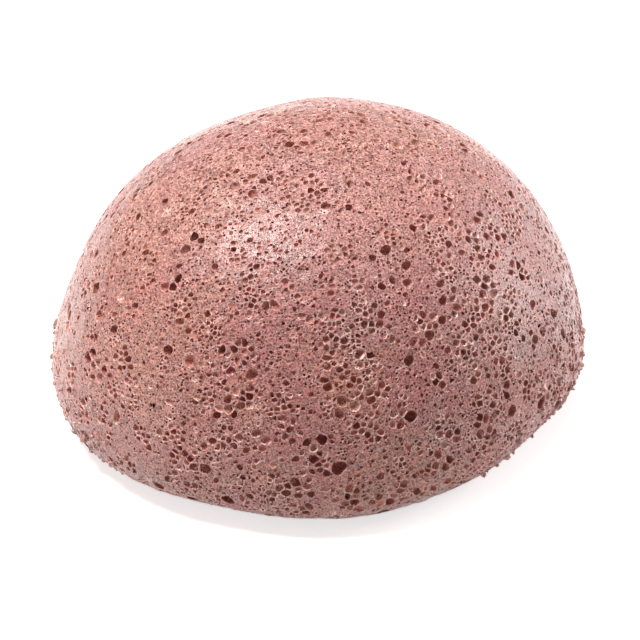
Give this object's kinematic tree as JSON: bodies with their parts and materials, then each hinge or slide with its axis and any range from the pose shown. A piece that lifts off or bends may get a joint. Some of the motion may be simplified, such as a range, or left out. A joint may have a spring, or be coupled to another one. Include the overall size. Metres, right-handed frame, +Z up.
{
  "type": "konjac sponge",
  "caption": "Half-ball konjac sponge for washing the face: an open-celled plant-gel foam with a domed top, a softly rounded edge and a flat base that it rests on.",
  "frame": {"origin": "centre of the flat face, on the plane the sponge rests on", "axes": "+Z up through the crown of the dome; +X and +Y lie in the flat face, and -Y is the side nearest the viewer in the picture"},
  "size_m": [0.08, 0.08, 0.042],
  "materials": {
    "konjac_foam": "slightly damp, dusty pink open-celled gel foam, matte with soft glints on the cell walls"
  },
  "bodies": {
    "root": {"sponge_body": "konjac_foam"}
  },
  "joints": []
}
